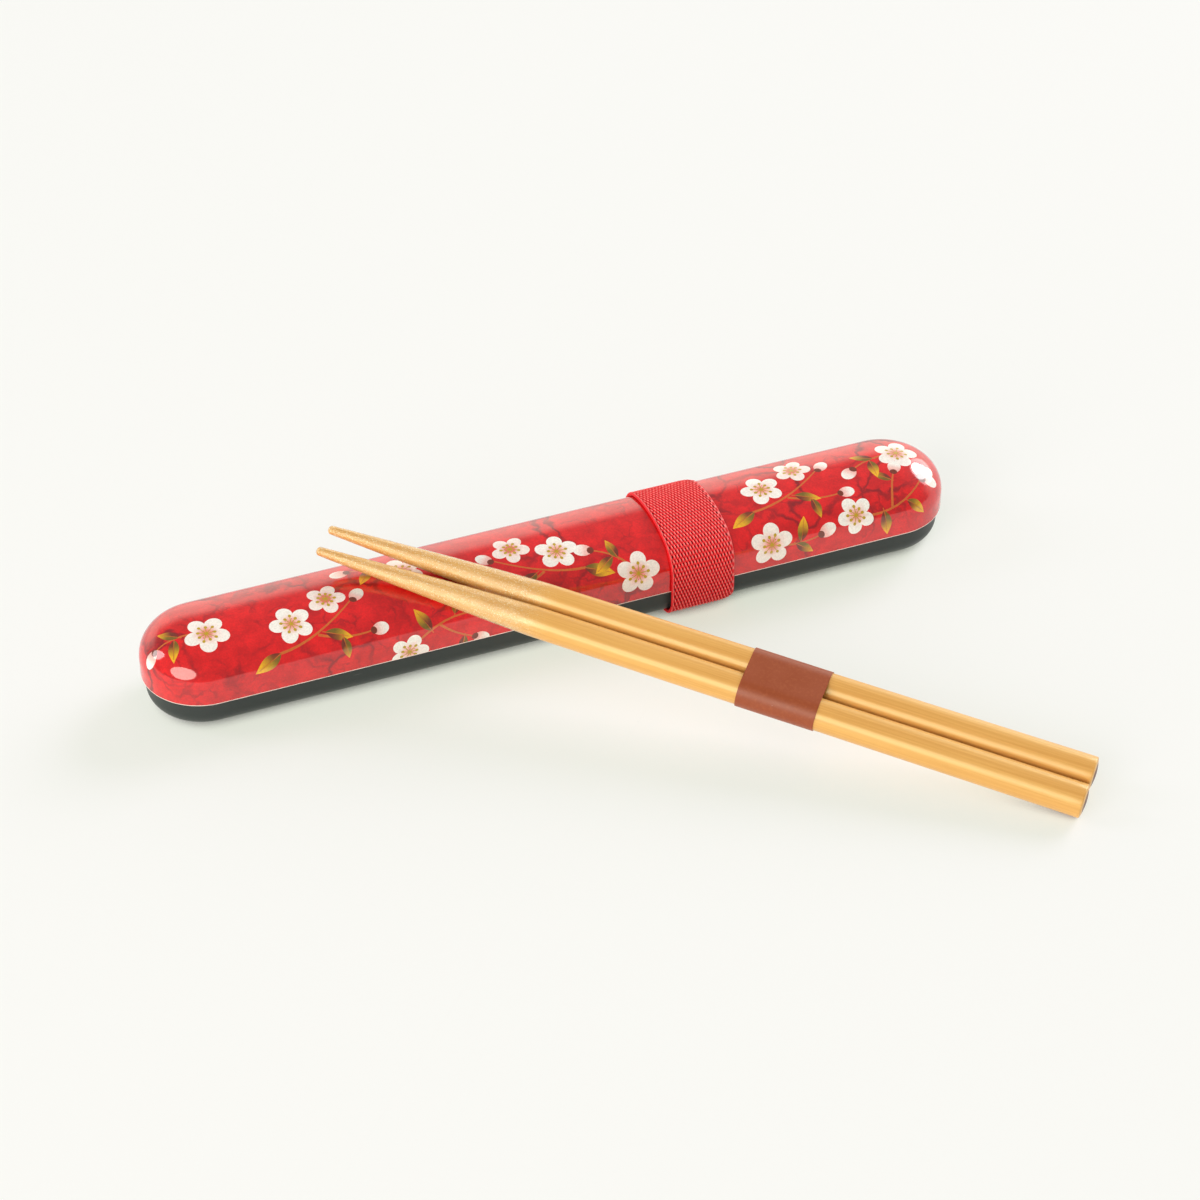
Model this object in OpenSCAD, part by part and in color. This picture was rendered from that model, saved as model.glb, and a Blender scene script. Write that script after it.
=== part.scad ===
// Portable chopstick case: a shallow tray and a domed lid held shut by a sewn elastic belt,
// with its pair of chopsticks, in their paper band, leaning on the lid.
// Millimetres. +X runs along the case, +Z is up, and z = 0 is the table.

/* [Case] */
// Overall length of the case
case_l = 195; // [170:1:260]
// Overall width of the case, across the lid
case_w = 28; // [25:0.5:34]
// Height of the base tray, from its underside to the parting line
base_h = 7.5; // [6.5:0.1:14]
// Height of the lid, from the parting line to the crown
lid_h = 12.5; // [11.5:0.1:18]
// Radius of the shoulder between the lid's side and its crown
shoulder_r = 7.5; // [5:0.1:9]
// Radius of the shallow arc across the lid's crown
crown_r = 27.5; // [22:0.1:40]
// Radius of the tray's lower edge
foot_r = 4.1; // [3.5:0.1:5.5]
// How far the tray's side stands in from the lid's side
base_inset = 0.9; // [0:0.05:1]
// Wall of the lid
lid_wall = 1.4; // [1:0.1:2]
// Thickness of the tray's lip, which holds the lid in place
lip_t = 0.9; // [0.6:0.1:1.5]
// Height of the lip above the parting line
lip_h = 2.6; // [1.5:0.1:3]
// Clearance between the lip and the inside of the lid
lip_gap = 0.15; // [0.05:0.05:0.4]

/* [Belt] */
// Width of the elastic belt
belt_w = 15.8; // [8:0.1:25]
// Thickness of the elastic belt
belt_t = 0.9; // [0.6:0.1:1.5]
// Middle of the belt, from the middle of the case
belt_x = 31.5; // [20:0.5:45]
// Clearance between the belt and the case
belt_gap = 0.1; // [0.05:0.05:0.4]
// Middle of the sewn seam, behind the belt's middle on the underside
seam_y = 4; // [3:0.5:5]
// Length of one stitch across the seam
stitch_l = 3.2; // [2:0.1:4]
// Thickness of the sewing thread
thread_d = 0.35; // [0.2:0.05:0.5]
// Distance from one stitch to the next
stitch_pitch = 1.5; // [1:0.1:3]
// Clearance of a stitch in the belt
stitch_gap = 0.05; // [0.02:0.01:0.1]

/* [Chopsticks] */
// Length of a chopstick
stick_l = 180; // [160:1:200]
// Diameter at the butt
butt_d = 7.7; // [6:0.1:9]
// Diameter where the straight body begins
body_d = 6.9; // [5:0.1:7.7]
// Diameter at the tip
tip_d = 2; // [1.5:0.1:4]
// Length of the slender end, from the tip to where the straight body begins
taper_l = 52; // [40:1:100]
// Fullness of the slender end: 1 is a straight cone, 2 a round swell
taper_swell = 1.2; // [1:0.1:2]
// Height of the butt's low dome
butt_crown = 0.6; // [0.2:0.1:1.5]
// Rounding of the butt's rim
rim_r = 0.3; // [0.2:0.1:1]
// Gap between the two chopsticks
pair_gap = 0.1; // [0.05:0.05:1]
// Direction from butt to tip, seen from above, measured from +X
heading = 139; // [130:1:150]
// Butt of the front chopstick to the right of the middle of the case
butt_x = 81.8; // [70:0.1:90]
// Butt of the front chopstick in front of the middle of the case
butt_y = 107.9; // [95:0.1:115]
// Clearance of the chopsticks above the lid that they lean on
rest_gap = 0.15; // [0.05:0.05:0.5]

/* [Paper band] */
// Width of the band along the chopsticks
band_w = 18; // [8:0.5:40]
// Thickness of the paper
band_t = 0.25; // [0.15:0.05:0.5]
// Middle of the band, from the tips
band_from_tip = 110; // [90:1:140]
// Clearance of the band round the chopsticks, at its edge nearer the butts
band_gap = 0.1; // [0.05:0.05:0.5]

/* [Set] */
// Middle line of the case behind the middle of the whole set
case_y = 47.7; // [0:0.1:60]

/* [Hidden] */
$fn = 96;

// Heights: the belt runs under the tray, so it lifts the tray by its own thickness
base_z = belt_t + belt_gap;
part_z = base_z + base_h;
top_z = part_z + lid_h;
straight_l = case_l - case_w;
over = 1;

// Section of the lid: the shoulder arc meets the side and the crown arc smoothly
shoulder_y = case_w / 2 - shoulder_r;
crown_z = top_z - crown_r;
shoulder_z = crown_z + sqrt(pow(crown_r - shoulder_r, 2) - pow(shoulder_y, 2));

// Section of the tray: its wall runs up into the lip
foot_y = case_w / 2 - base_inset - foot_r;
foot_z = base_z + foot_r;
lip_out = case_w / 2 - lid_wall - lip_gap;
base_wall = case_w / 2 - base_inset - (lip_out - lip_t);

// The pair: straight bodies side by side, so their axes close in a little towards the tips
spacing = butt_d + pair_gap;
toe_in = atan((butt_d - body_d) / (stick_l - taper_l));
tip_cap = 0.8 * tip_d / 2;
taper_steps = 16;
arc_steps = 6;

// Section of the butt: the dome's arc runs smoothly into the rim's rounding
dome_r = (pow(butt_d / 2, 2) + pow(butt_crown, 2)) / (2 * butt_crown);
rim_out = butt_d / 2 - rim_r;
rim_z = dome_r - sqrt(pow(dome_r - rim_r, 2) - pow(rim_out, 2));
rim_turn = asin(rim_out / (dome_r - rim_r));

// Radius of a chopstick at a distance from its tip
function stick_r(from_tip) =
    from_tip < taper_l
        ? body_d / 2 - (body_d - tip_d) / 2 * pow(1 - from_tip / taper_l, taper_swell)
        : body_d / 2 + (butt_d - body_d) / 2 * (from_tip - taper_l) / (stick_l - taper_l);

// Distance between the two axes at a distance from the butts
function axes_apart(from_butt) = spacing - from_butt * tan(toe_in);

// Unit vectors of the front chopstick: along it to the tip, level across it, and square to both
function along(slope) = [cos(slope) * cos(heading), cos(slope) * sin(heading), sin(slope)];
function level() = [sin(heading), -cos(heading), 0];
function upright(slope) = [-sin(slope) * cos(heading), -sin(slope) * sin(heading), cos(slope)];
function across(slope, roll) = cos(roll) * level() + sin(roll) * upright(slope);

// Smallest distance between a chopstick and the cylinder that the lid's crown lies on
function lid_clearance(butt, way) =
    min([for (s = [0 : 2 : stick_l])
        let (p = butt + (stick_l - s) * way)
        norm([p[1], p[2] - crown_z]) - crown_r - stick_r(s)]);

// Angle between low and high at which a rising clearance reaches rest_gap, found by halving
function settle(clearance, low, high, tries = 24) =
    let (middle = (low + high) / 2)
    tries == 0 ? high
        : clearance(middle) > rest_gap ? settle(clearance, low, middle, tries - 1)
        : settle(clearance, middle, high, tries - 1);

// The front butt stands on the table, and both chopsticks lie against the crown
function front_butt(slope) = [butt_x, -butt_y, butt_d / 2 * cos(slope)];
slope = settle(function(a) lid_clearance(front_butt(a), along(a)), 0, 40);
roll = settle(function(a) lid_clearance(front_butt(slope) + spacing * across(slope, a),
    cos(toe_in) * along(slope) - sin(toe_in) * across(slope, a)), -20, 60);

// Right half of the lid's outline drawn in by inset, from the height low upwards
module arch_half(inset, low) {
    ray = [shoulder_y, shoulder_z - crown_z] * 2 * crown_r / (crown_r - shoulder_r);
    intersection() {
        translate([0, low]) square([case_w, top_z]);
        union() {
            translate([0, low]) square([case_w / 2 - inset, shoulder_z - low]);
            translate([shoulder_y, shoulder_z]) circle(r = shoulder_r - inset);
            translate([0, crown_z]) intersection() {
                circle(r = crown_r - inset);
                polygon([[0, 0], ray, [0, 2 * crown_r]]);
            }
        }
    }
}

// Right half of the tray's outline drawn in by inset, up to the height high
module tray_half(inset, high) {
    side = case_w / 2 - base_inset - inset;
    intersection() {
        square([case_w, high]);
        union() {
            translate([0, foot_z]) square([side, high - foot_z]);
            translate([foot_y, foot_z]) circle(r = foot_r - inset);
            translate([0, base_z + inset]) square([foot_y, foot_r - inset]);
        }
    }
}

// Right half of the closed case's outline at the belt, let out by grow. The belt hangs straight down
// from the lid's side and turns in under the tray, so its corner is wider than the tray's
module girth_half(grow) {
    corner_r = foot_r + base_inset;
    corner_z = base_z + corner_r;
    arch_half(-grow, corner_z);
    intersection() {
        translate([0, base_z - grow]) square(case_w);
        translate([foot_y, corner_z]) circle(r = corner_r + grow);
    }
    translate([0, base_z - grow]) square([foot_y, corner_r + grow]);
}

// Both halves of a section whose right half is given
module both_halves() {
    children();
    mirror([1, 0]) children();
}

// A section set upright across the case and drawn along it by a length
module along_case(length) {
    rotate([90, 0, 90]) translate([0, 0, -length / 2]) linear_extrude(length) children();
}

// A half section carried round the whole case: a straight middle and two half-round ends
module round_case() {
    along_case(straight_l) both_halves() children();
    for (end = [-1, 1])
        translate([end * straight_l / 2, 0, 0]) rotate(-90 * end) rotate_extrude(angle = 180) children();
}

module base_tray() {
    color([0.24, 0.27, 0.27]) translate([0, case_y, 0]) difference() {
        union() {
            round_case() tray_half(0, part_z);
            round_case() translate([0, part_z - over]) square([lip_out, over + lip_h]);
        }
        round_case() tray_half(base_wall, part_z + lip_h + over);
    }
}

module lid() {
    color([0.76, 0.14, 0.17]) translate([0, case_y, 0]) difference() {
        round_case() arch_half(0, part_z);
        round_case() arch_half(lid_wall, part_z - over);
    }
}

// The part of the belt's loop between two heights
module belt(low, high) {
    translate([belt_x, case_y, 0]) along_case(belt_w) intersection() {
        difference() {
            both_halves() girth_half(belt_gap + belt_t);
            both_halves() girth_half(belt_gap);
        }
        translate([-case_w, low]) square([2 * case_w, high - low]);
    }
}

// The row of stitches across the belt, each let out by grow and carried down by below
module stitches(grow, below) {
    last = floor((belt_w / 2 - stitch_pitch / 2) / stitch_pitch);
    width = thread_d + 2 * grow;
    length = stitch_l + 2 * grow;
    for (i = [-last : last])
        translate([belt_x + i * stitch_pitch - width / 2, case_y + seam_y - length / 2, stitch_gap - grow - below])
            cube([width, length, width + below]);
}

module belt_lower() {
    color([0.82, 0.16, 0.2]) difference() {
        belt(-over, part_z);
        stitches(stitch_gap, over);
    }
}

module belt_upper() {
    color([0.82, 0.16, 0.2]) belt(part_z, top_z + belt_gap + belt_t + over);
}

module belt_stitching() {
    color([0.6, 0.08, 0.12]) stitches(0, 0);
}

// Places children along the front chopstick: z runs from its butt to its tip, -y to its neighbour
module at_pair() {
    translate(front_butt(slope) + [0, case_y, 0])
        rotate([0, 90 - slope, heading]) rotate(-roll) children();
}

// One chopstick standing on its butt: low dome, rounded rim, straight body, slender end, blunt tip
module chopstick() {
    dome = [for (i = [0 : arc_steps])
        let (a = rim_turn * i / arc_steps)
        [dome_r * sin(a), dome_r - dome_r * cos(a)]];
    rim = [for (i = [1 : arc_steps])
        let (a = rim_turn + (90 - rim_turn) * i / arc_steps)
        [rim_out + rim_r * sin(a), rim_z - rim_r * cos(a)]];
    slender = [for (i = [0 : taper_steps])
        let (s = taper_l + (tip_cap - taper_l) * i / taper_steps)
        [stick_r(s), stick_l - s]];
    blunt = [for (i = [1 : arc_steps])
        let (a = 90 * i / arc_steps)
        [stick_r(tip_cap) * cos(a), stick_l - tip_cap + tip_cap * sin(a)]];
    rotate_extrude() polygon(concat(dome, rim, slender, blunt));
}

module chopstick_front() {
    color([0.9, 0.71, 0.4]) at_pair() chopstick();
}

module chopstick_back() {
    color([0.9, 0.71, 0.4]) at_pair() translate([0, -spacing, 0]) rotate([-toe_in, 0, 0]) chopstick();
}

// Outline round both chopsticks at the band's edge nearer the butts, let out by grow
module pair_outline(grow) {
    edge_from_tip = band_from_tip + band_w / 2;
    diameter = 2 * (stick_r(edge_from_tip) + grow);
    apart = axes_apart(stick_l - edge_from_tip);
    for (side = [-1, 1])
        translate([0, side * apart / 2]) circle(d = diameter);
    square([diameter, apart], center = true);
}

module paper_band() {
    from_butt = stick_l - band_from_tip;
    color([0.62, 0.34, 0.23]) at_pair()
        translate([0, -axes_apart(from_butt) / 2, from_butt]) rotate([-toe_in / 2, 0, 0])
            linear_extrude(band_w, center = true) difference() {
                pair_outline(band_gap + band_t);
                pair_outline(band_gap);
            }
}

base_tray();
lid();
belt_lower();
belt_upper();
belt_stitching();
chopstick_front();
chopstick_back();
paper_band();
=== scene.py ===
import math

import bmesh
import bpy
import numpy as np
from mathutils import Matrix, Vector, noise
from mathutils.geometry import delaunay_2d_cdt


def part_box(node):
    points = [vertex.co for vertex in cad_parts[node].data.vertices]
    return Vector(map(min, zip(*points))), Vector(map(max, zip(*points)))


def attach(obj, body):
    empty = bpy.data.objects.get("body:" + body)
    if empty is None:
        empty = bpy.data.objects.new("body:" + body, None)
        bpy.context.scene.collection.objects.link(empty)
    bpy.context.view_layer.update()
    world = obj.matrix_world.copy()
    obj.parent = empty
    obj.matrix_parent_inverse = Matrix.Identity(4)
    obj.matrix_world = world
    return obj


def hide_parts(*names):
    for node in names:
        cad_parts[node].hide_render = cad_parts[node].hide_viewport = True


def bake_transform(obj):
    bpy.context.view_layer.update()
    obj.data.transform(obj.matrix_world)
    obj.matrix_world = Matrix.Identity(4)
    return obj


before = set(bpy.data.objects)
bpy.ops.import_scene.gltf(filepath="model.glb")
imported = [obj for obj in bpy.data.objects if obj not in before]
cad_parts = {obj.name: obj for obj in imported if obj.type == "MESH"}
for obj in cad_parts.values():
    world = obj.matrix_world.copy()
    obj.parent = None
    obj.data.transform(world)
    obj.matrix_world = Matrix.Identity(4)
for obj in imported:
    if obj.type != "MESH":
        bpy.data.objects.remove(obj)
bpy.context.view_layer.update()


# Base tray
# A shallow tray moulded in near-black plastic with a fine satin face. Its lower edge is well rounded, and
# its wall steps in at the parting line to a thin lip, which the lid drops over.
MM = 0.001
tray_low, tray_high = (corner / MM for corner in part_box("base_tray"))
lid_low, lid_high = (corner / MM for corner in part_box("lid"))
case_y = (lid_low.y + lid_high.y) / 2
case_half = (lid_high.y - lid_low.y) / 2
end_x = lid_high.x - case_half
base_z = tray_low.z
part_z = lid_low.z
lip_z = tray_high.z
tray_side = tray_high.y - case_y
foot_r = 4.1
lid_wall = 1.4
lip_gap = 0.15
lip_t = 0.9
edge_r = 0.18
end_steps = 40
foot_steps = 14
edge_steps = 4
inside_foot_steps = 10


def arc(middle, radius, start, stop, steps):
    """Points of an arc as (out, up) pairs, from one angle to another in degrees from straight out."""
    angles = [math.radians(start + (stop - start) * i / steps) for i in range(steps + 1)]
    return [(middle[0] + radius * math.cos(a), middle[1] + radius * math.sin(a)) for a in angles]


def make_piece(name, points, faces):
    """A smooth-shaded mesh piece from points in millimetres."""
    mesh = bpy.data.meshes.new(name)
    mesh.from_pydata([Vector(point) * MM for point in points], [], faces)
    mesh.shade_smooth()
    piece = bpy.data.objects.new(name, mesh)
    bpy.context.scene.collection.objects.link(piece)
    return piece


def weld(piece, reach=1e-4):
    """Joins the points of a piece that lie together and turns its faces outwards."""
    shape = bmesh.new()
    shape.from_mesh(piece.data)
    bmesh.ops.remove_doubles(shape, verts=shape.verts, dist=reach * MM)
    bmesh.ops.dissolve_degenerate(shape, dist=reach * MM, edges=shape.edges)
    bmesh.ops.recalc_face_normals(shape, faces=shape.faces)
    shape.to_mesh(piece.data)
    shape.free()


def skin(rows, width, round_rows=False, round_points=True, first=0):
    """Faces between neighbouring rows of points, closed round the rows or round the points of each row."""
    faces = []
    for i in range(rows if round_rows else rows - 1):
        here = first + i * width
        after = first + (i + 1) % rows * width
        for j in range(width if round_points else width - 1):
            n = (j + 1) % width
            faces.append((here + j, here + n, after + n, after + j))
    return faces


def carry_round_case(name, section):
    """A half section, from the middle line out and back to it, carried round the long case."""
    path = []
    for end in (1, -1):
        for i in range(end_steps + 1):
            turn = math.pi * (i / end_steps - 0.5)
            path.append((end * end_x, end * math.cos(turn), end * math.sin(turn)))
    points = [(x + out * c, case_y + out * s, up) for x, c, s in path for out, up in section]
    piece = make_piece(name, points, skin(len(path), len(section), round_rows=True, round_points=False))
    weld(piece)
    return piece


def feed(tree, made, inputs):
    """Sets a shader node's inputs to values, or links them to other nodes' outputs."""
    for key, value in inputs.items():
        if isinstance(value, bpy.types.NodeSocket):
            tree.links.new(value, made.inputs[key])
        else:
            made.inputs[key].default_value = value


def add_node(tree, kind, inputs=None, **settings):
    """A new shader node with its settings and its inputs."""
    made = tree.nodes.new(kind)
    for key, value in settings.items():
        setattr(made, key, value)
    feed(tree, made, inputs or {})
    return made


def start_material(name):
    """A new node material: its tree, its surface shader and the place on the piece in metres."""
    material = bpy.data.materials.new(name)
    material.use_nodes = True
    tree = material.node_tree
    surface = tree.nodes["Principled BSDF"]
    place = add_node(tree, "ShaderNodeTexCoord").outputs["Object"]
    return material, tree, surface, place


def colour(red, green, blue):
    """A colour given as it shows on a screen, 0 to 255, in the shader's own linear values."""
    shares = [value / 255 for value in (red, green, blue)]
    return [s / 12.92 if s <= 0.04045 else ((s + 0.055) / 1.055) ** 2.4 for s in shares] + [1.0]


def blend_colours(tree, share, first, second):
    """The output of a node that goes from the first colour to the second."""
    mix = add_node(tree, "ShaderNodeMix", {0: share, 6: first, 7: second}, data_type="RGBA")
    return mix.outputs[2]


def grade(tree, value, low, high, out_low=0.0, out_high=1.0):
    """The output of a node that maps a value from one range to another, smoothly and held at the ends."""
    inputs = {"Value": value, 1: low, 2: high, 3: out_low, 4: out_high}
    return add_node(tree, "ShaderNodeMapRange", inputs, interpolation_type="SMOOTHSTEP").outputs[0]


def patchy(tree, place, scale, detail, **more):
    """The output of a noise node: soft uneven patches, finer as the scale grows."""
    inputs = {"Vector": place, "Scale": scale, "Detail": detail, **more}
    return add_node(tree, "ShaderNodeTexNoise", inputs).outputs[0]


def drawn_out(tree, place, scale):
    """The output of a node that stretches places, so that a pattern on them is drawn out."""
    return add_node(tree, "ShaderNodeMapping", {"Vector": place, "Scale": scale}).outputs[0]


def dents(tree, height, strength, depth):
    """The output of a node that tilts the surface by a height, over a depth in metres."""
    inputs = {"Height": height, "Strength": strength, "Distance": depth}
    return add_node(tree, "ShaderNodeBump", inputs).outputs[0]


def tray_plastic():
    """Dyed plastic, eroded to a satin face by its mould, with a few fine scuffs."""
    material, tree, surface, place = start_material("tray_plastic")
    cloud = patchy(tree, place, 90.0, 4.0)
    grain = patchy(tree, place, 2600.0, 2.0)
    marks = patchy(tree, drawn_out(tree, place, (0.12, 1.0, 1.0)), 900.0, 3.0)
    scuff = grade(tree, marks, 0.70, 0.80)
    dyed = blend_colours(tree, cloud, colour(48, 54, 53), colour(58, 64, 62))
    feed(tree, surface, {
        "Base Color": blend_colours(tree, scuff, dyed, colour(84, 90, 87)),
        "Roughness": grade(tree, cloud, 0.3, 0.7, 0.34, 0.44),
        "Normal": dents(tree, grain, 0.12, 0.00005),
        "Specular IOR Level": 0.3})
    return material


foot = (tray_side - foot_r, base_z + foot_r)
lip_out = case_half - lid_wall - lip_gap
lip_in = lip_out - lip_t
tray_wall = tray_side - lip_in
tray_section = [(0, base_z)]
tray_section += arc(foot, foot_r, -90, 0, foot_steps)
tray_section += arc((tray_side - edge_r, part_z - edge_r), edge_r, 0, 90, edge_steps)
tray_section += arc((lip_out + edge_r, part_z + edge_r), edge_r, 270, 180, edge_steps)
tray_section += arc((lip_out - edge_r, lip_z - edge_r), edge_r, 0, 90, edge_steps)
tray_section += arc((lip_in + edge_r, lip_z - edge_r), edge_r, 90, 180, edge_steps)
tray_section += arc(foot, foot_r - tray_wall, 0, -90, inside_foot_steps)
tray_section += [(0, base_z + tray_wall)]
tray = carry_round_case("tray_shell", tray_section)
tray.modifiers.new("even_shading", "WEIGHTED_NORMAL").keep_sharp = True
tray.data.materials.append(tray_plastic())
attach(tray, "base")
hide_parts("base_tray")


# Lid
# A domed shell moulded in ivory plastic. A printed film of blossom sprigs on a red crackled ground is laid
# over its outside under a clear gloss coat, and the ivory shows as a thin line along its lower edge.
top_z = lid_high.z
shoulder_r = 7.5
crown_r = 27.5
film_rim = 0.28
row_step = 1.0
film_step = 2.0
rim_columns = 80
shoulder_steps = 10
crown_steps = 4
flat_inside = 3.0
shoulder_y = case_half - shoulder_r
crown_z = top_z - crown_r
shoulder_z = crown_z + math.sqrt((crown_r - shoulder_r) ** 2 - shoulder_y ** 2)
crown_turn = math.asin(shoulder_y / (crown_r - shoulder_r))
shoulder_stop = 90 - math.degrees(crown_turn)
crown_girth = crown_r * crown_turn
side_girth = crown_girth + shoulder_r * (math.pi / 2 - crown_turn)
film_girth = side_girth + shoulder_z - part_z - film_rim


def over_arch(girth):
    """Out, up and the normal's angle from upright, at a distance round the lid's section from its crown."""
    if girth < crown_girth:
        turn = girth / crown_r
        return crown_r * math.sin(turn), crown_z + crown_r * math.cos(turn), turn
    if girth < side_girth:
        turn = crown_turn + (girth - crown_girth) / shoulder_r
        return shoulder_y + shoulder_r * math.sin(turn), shoulder_z + shoulder_r * math.cos(turn), turn
    return case_half, shoulder_z - (girth - side_girth), math.pi / 2


def film_frame(x, v):
    """Where a point of the flat film, x along the case and v across it, comes to lie: its foot on the middle
    line, its way out and its girth."""
    past = max(abs(x) - end_x, 0.0)
    girth = math.hypot(past, v)
    if girth < 1e-9:
        return x, (0.0, 1.0), 0.0
    foot_x = math.copysign(min(abs(x), end_x), x)
    return foot_x, (math.copysign(past, x) / girth, v / girth), girth


# Motif sizes are shares of a motif's radius or length. Widths of lines and anthers are in millimetres.
petal_white = colour(250, 246, 238)
petal_pink = colour(246, 186, 176)
petal_rose = colour(226, 92, 84)
pollen_gold = colour(190, 158, 28)
leaf_gold = colour(242, 182, 30)
leaf_olive = colour(120, 96, 26)
leaf_brown = colour(118, 46, 26)
stem_orange = colour(206, 104, 40)
petal_count = 5
petal_reach = 0.6
petal_long = 0.4
petal_wide = 0.36
petal_change = 0.015
heart_size = (0.27, 0.27)
stamen_count = 9
stamen_reach = 0.36
stamen_change = 0.09
stamen_w = (0.24, 0.16)
anther_size = (0.44, 0.38)
leaf_half = 0.21
leaf_full = 0.85
leaf_steps = 10
midrib = (-0.1, 0.3, 0.86)
midrib_w = (0.22, 0.1)
stem_w = (0.6, 0.34)
bud_size = (1.1, 0.86)
bud_calyx = (0.42, 0.5)
bud_calyx_back = 0.95
fan_turns = (-0.85, 0.85, 0.0)
fan_reach = 0.55
fan_petal = (0.5, 0.33)
fan_calyx = (0.24, 0.28)
growth = 1.22
prints = []


def mix_inks(first, second, share):
    """A colour part of the way from one ink to another, with a soft start and end."""
    t = min(max(share, 0.0), 1.0)
    t = t * t * (3 - 2 * t)
    return [a + (b - a) * t for a, b in zip(first, second)]


def plain(tone):
    """An ink of one colour all over."""
    return lambda px, pv: tone


def ink(outline, tone):
    """Lays one inked shape on the film, over those laid before. tone gives its colour at a point."""
    turns = sum(a[0] * b[1] - b[0] * a[1] for a, b in zip(outline, outline[1:] + outline[:1]))
    prints.append((outline if turns > 0 else outline[::-1], tone))


def ellipse(x, v, size, scale, heading, steps):
    """Outline of an ellipse on the film, with its half length and half width as shares of a scale."""
    c, s = math.cos(heading), math.sin(heading)
    long, wide = size[0] * scale, size[1] * scale
    outline = []
    for i in range(steps):
        a = 2 * math.pi * i / steps
        p, q = long * math.cos(a), wide * math.sin(a)
        outline.append((x + c * p - s * q, v + s * p + c * q))
    return outline


def ribbon(points, width_start, width_end):
    """Outline of a line of given width through points on the film."""
    left, right = [], []
    for i, (x, v) in enumerate(points):
        ahead = points[min(i + 1, len(points) - 1)]
        behind = points[max(i - 1, 0)]
        way = Vector((ahead[0] - behind[0], ahead[1] - behind[1])).normalized()
        half = (width_start + (width_end - width_start) * i / (len(points) - 1)) / 2
        left.append((x - way.y * half, v + way.x * half))
        right.append((x + way.y * half, v - way.x * half))
    return right + left[::-1]


def curve(start, bend, stop, steps):
    """Points along a curve from start to stop that is drawn towards bend."""
    shares = [i / steps for i in range(steps + 1)]
    return [tuple((1 - t) ** 2 * a + 2 * t * (1 - t) * b + t * t * c for a, b, c in zip(start, bend, stop))
            for t in shares]


def blossom(x, v, radius, heading, warmth):
    """An open plum blossom: five round petals, a rosy middle and a ring of golden stamens."""
    def from_middle(px, pv):
        return math.hypot(px - x, pv - v) / radius

    def petal_tone(px, pv):
        tip = mix_inks(petal_white, petal_pink, warmth * 0.35)
        base = mix_inks(petal_pink, petal_rose, warmth * 0.5)
        return mix_inks(base, tip, (from_middle(px, pv) - 0.22) / 0.4)

    def heart_tone(px, pv):
        return mix_inks(petal_rose, petal_pink, from_middle(px, pv) / 0.3 * (1.2 - warmth))

    for i in range(petal_count):
        way = heading + 2 * math.pi * i / petal_count
        middle = (x + petal_reach * radius * math.cos(way), v + petal_reach * radius * math.sin(way))
        petal = (petal_long, petal_wide + petal_change * (i % 2))
        ink(ellipse(*middle, petal, radius, way, 22), petal_tone)
    ink(ellipse(x, v, heart_size, radius, heading, 14), heart_tone)
    for i in range(stamen_count):
        way = heading + 2 * math.pi * (i + 0.25) / stamen_count
        reach = (stamen_reach + stamen_change * (i % 2)) * radius
        end = (x + reach * math.cos(way), v + reach * math.sin(way))
        ink(ribbon([(x, v), end], *stamen_w), plain(pollen_gold))
        ink(ellipse(*end, anther_size, 1.0, way, 8), plain(pollen_gold))


def leaf(x, v, length, heading, dark):
    """A pointed leaf in two halves, one in shade, with an orange midrib."""
    c, s = math.cos(heading), math.sin(heading)

    def at(p, q):
        return x + c * p - s * q, v + s * p + c * q

    def fade_from(deep):
        def tone(px, pv):
            along = ((px - x) * c + (pv - v) * s) / length
            return mix_inks(deep, leaf_gold, (along - 0.1 - 0.4 * dark) / 0.6)
        return tone

    shares = [i / leaf_steps for i in range(leaf_steps + 1)]
    for side, deep in ((1, leaf_olive), (-1, leaf_brown)):
        half = side * leaf_half * length
        ink([at(length * t, half * math.sin(math.pi * t ** leaf_full)) for t in shares], fade_from(deep))
    ink(ribbon([at(share * length, 0) for share in midrib], *midrib_w), plain(stem_orange))


def bud(x, v, radius, heading):
    """A closed bud: a pale round tip held in a brown calyx."""
    c, s = math.cos(heading), math.sin(heading)
    ink(ellipse(x, v, bud_size, radius, heading, 18),
        lambda px, pv: mix_inks(petal_pink, petal_white, 0.5 + ((px - x) * c + (pv - v) * s) / radius))
    calyx = (x - bud_calyx_back * c * radius, v - bud_calyx_back * s * radius)
    ink(ellipse(*calyx, bud_calyx, radius, heading, 12), plain(leaf_brown))


def half_open(x, v, radius, heading):
    """A blossom seen from the side: three petals fanned out of a brown calyx."""
    for turn in fan_turns:
        way = heading + turn
        middle = (x + fan_reach * radius * math.cos(way), v + fan_reach * radius * math.sin(way))
        ink(ellipse(*middle, fan_petal, radius, way, 20),
            lambda px, pv: mix_inks(petal_pink, petal_white, math.hypot(px - x, pv - v) / radius))
    ink(ellipse(x, v, fan_calyx, radius, heading, 12), plain(leaf_brown))


def sprig(x, v, heading, flip, stems, blossoms, buds, leaves, halves=()):
    """One printed sprig, drawn from its own plan, turned and, if flip is -1, mirrored."""
    c, s = math.cos(heading), math.sin(heading)

    def at(point):
        p, q = growth * point[0], growth * flip * point[1]
        return x + c * p - s * q, v + s * p + c * q

    def turned(degrees):
        return heading + flip * math.radians(degrees)

    for start, bend, stop in stems:
        ink(ribbon(curve(at(start), at(bend), at(stop), 8), *stem_w), plain(stem_orange))
    for point, length, degrees, dark in leaves:
        leaf(*at(point), growth * length, turned(degrees), dark)
    for point, radius, degrees in buds:
        bud(*at(point), growth * radius, turned(degrees))
    for point, radius, degrees in halves:
        half_open(*at(point), growth * radius, turned(degrees))
    for point, radius, degrees, warmth in blossoms:
        blossom(*at(point), growth * radius, turned(degrees), warmth)


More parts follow.
